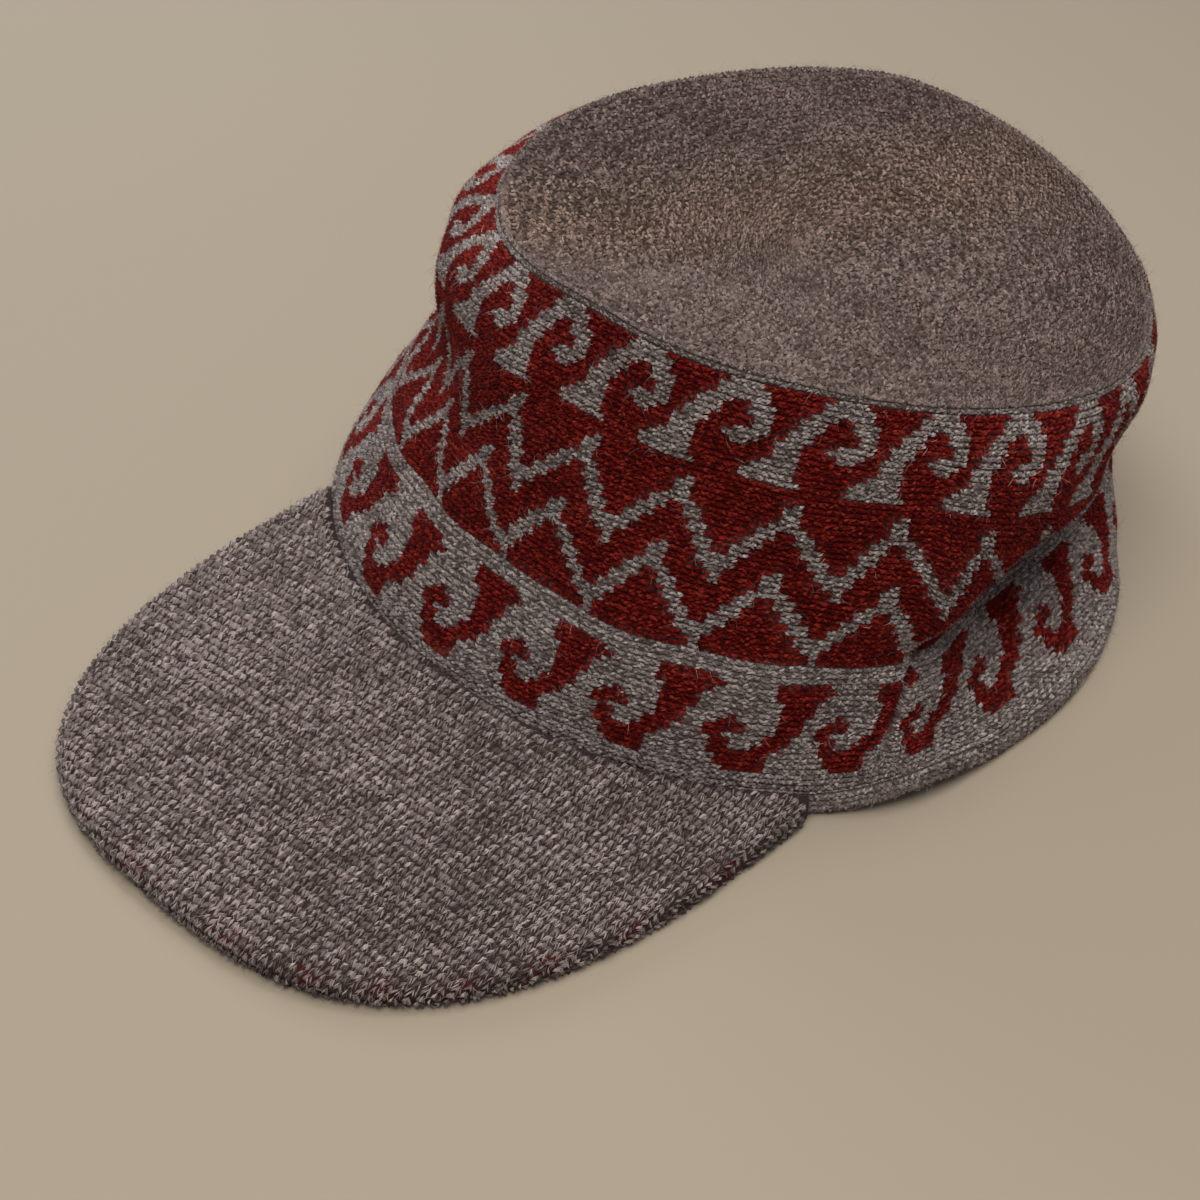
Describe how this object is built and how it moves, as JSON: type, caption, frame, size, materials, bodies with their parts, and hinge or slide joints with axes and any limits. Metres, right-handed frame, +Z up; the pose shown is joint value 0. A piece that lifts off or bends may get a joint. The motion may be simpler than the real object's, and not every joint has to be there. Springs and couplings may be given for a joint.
{
  "type": "knitted cadet cap",
  "caption": "Soft knitted cap with a flat round top, a patterned side that sags over its band, a narrow hem and a padded visor, resting on its hem.",
  "frame": {"origin": "on the surface the cap rests on, under the middle of its box", "axes": "+Z up, the visor points to -Y and +X is the wearer's left"},
  "size_m": [0.1908, 0.277, 0.0969],
  "materials": {
    "jacquard_knit": "stranded wool knit in brick red and heathered grey, fuzzy",
    "plain_knit": "heathered grey wool knit, fuzzy",
    "edging_knit": "heathered grey wool edging, fuzzy",
    "visor_knit": "coarse heathered grey wool knit, fuzzy"
  },
  "bodies": {
    "root": {"crown_side": "jacquard_knit", "crown_top": "plain_knit", "band_hem": "edging_knit", "visor": "visor_knit"}
  },
  "joints": []
}
